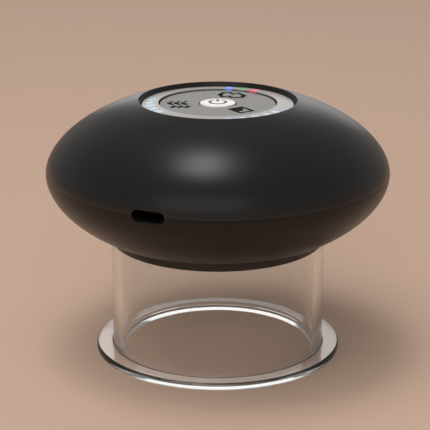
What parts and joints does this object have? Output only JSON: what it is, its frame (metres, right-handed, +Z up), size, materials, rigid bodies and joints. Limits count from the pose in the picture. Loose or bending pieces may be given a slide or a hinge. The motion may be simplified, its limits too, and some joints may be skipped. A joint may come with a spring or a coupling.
{
  "type": "electric cupping massager",
  "caption": "Flattened round massage head with a sunk control panel, standing on a clear flanged suction cup that pulls off.",
  "frame": {"origin": "centre of the cup's foot, on the surface that the cup stands on", "axes": "+Z up the shared axis of cup and head; -Y faces the user, with the charging slot 22 degrees from -Y towards -X"},
  "size_m": [0.098, 0.098, 0.0739],
  "materials": {
    "black_plastic": "fine satin texture",
    "clear_plastic": "clear moulded plastic, polished",
    "black_rubber": "matte",
    "pale_diffuser": "satin, lets light through",
    "grey_metal_paint": "satin metallic paint",
    "silver": "fine sparkle, polished",
    "blue_white_light": "lit from below",
    "blue_light": "lit from below",
    "green_light": "lit from below",
    "red_light": "lit from below",
    "circuit_board": "satin solder mask",
    "steel": "plain",
    "copper": null,
    "chip_resin": "matte",
    "battery_film": "laminated film",
    "foam": null,
    "white_plastic": "satin",
    "silicone": "satin",
    "aluminium": "turned and brushed",
    "red_window": "polished"
  },
  "bodies": {
    "cup": {"suction_cup": "clear_plastic"},
    "head": {"upper_housing": "black_plastic", "lower_housing": "black_plastic", "neck_seal": "black_rubber", "light_ring": "pale_diffuser", "left_level_lights": "blue_white_light", "right_level_lights": "blue_white_light", "mode_light_blue": "blue_light", "mode_light_green": "green_light", "mode_light_red": "red_light", "control_board": "circuit_board", "power_switch": "steel", "heat_switch": "steel", "mode_switch": "steel", "level_switch": "steel", "board_screw_1": "steel", "board_screw_2": "steel", "board_screw_3": "steel", "main_board": "circuit_board", "charging_socket": "steel", "controller_chip": "chip_resin", "charging_coil": "copper", "battery": "battery_film", "battery_pad": "foam", "pump_motor": "steel", "crank_box": "white_plastic", "wobble_plate": "white_plastic", "pump_diaphragm": "black_rubber", "pump_valve_plate": "white_plastic", "pump_cap": "white_plastic", "motor_saddle": "black_rubber", "pump_pad": "black_rubber", "suction_port": "white_plastic", "vacuum_hose": "silicone", "release_hose": "silicone", "valve_body": "white_plastic", "valve_yoke": "steel", "valve_coil": "copper", "valve_spring": "steel", "treatment_plate": "aluminium", "light_window": "red_window", "treatment_board": "circuit_board", "suction_filter": "steel", "housing_screw_1": "steel", "housing_screw_2": "steel", "housing_screw_3": "steel"},
    "key_plate": {"key_plate": "grey_metal_paint"},
    "power_button": {"power_button": "silver"},
    "pump_rotor": {"motor_shaft": "steel", "crank_wheel": "white_plastic"},
    "valve_plunger": {"valve_plunger": "steel"}
  },
  "joints": [
    {"name": "head_lift", "type": "slide", "parent": "cup", "child": "head", "axis": [0, 0, 1], "range_m": [0, 0.04]},
    {"name": "key_plate_press", "type": "slide", "parent": "head", "child": "key_plate", "axis": [0, 0, -1], "range_m": [0, 0.00025], "stiffness_N_per_m": 1500, "springref_m": -0.0003},
    {"name": "power_button_press", "type": "slide", "parent": "head", "child": "power_button", "axis": [0, 0, -1], "range_m": [0, 0.00025], "stiffness_N_per_m": 1500, "springref_m": -0.0003},
    {"name": "pump_spin", "type": "hinge", "parent": "head", "child": "pump_rotor", "pos_m": [-0.005, 0.0148, 0.05336], "axis": [1, 0, 0], "continuous": true},
    {"name": "valve_plunger_lift", "type": "slide", "parent": "head", "child": "valve_plunger", "axis": [0, 0, 1], "range_m": [0, 0.0012], "stiffness_N_per_m": 150, "springref_m": -0.002, "deforming": ["valve_spring"]}
  ]
}
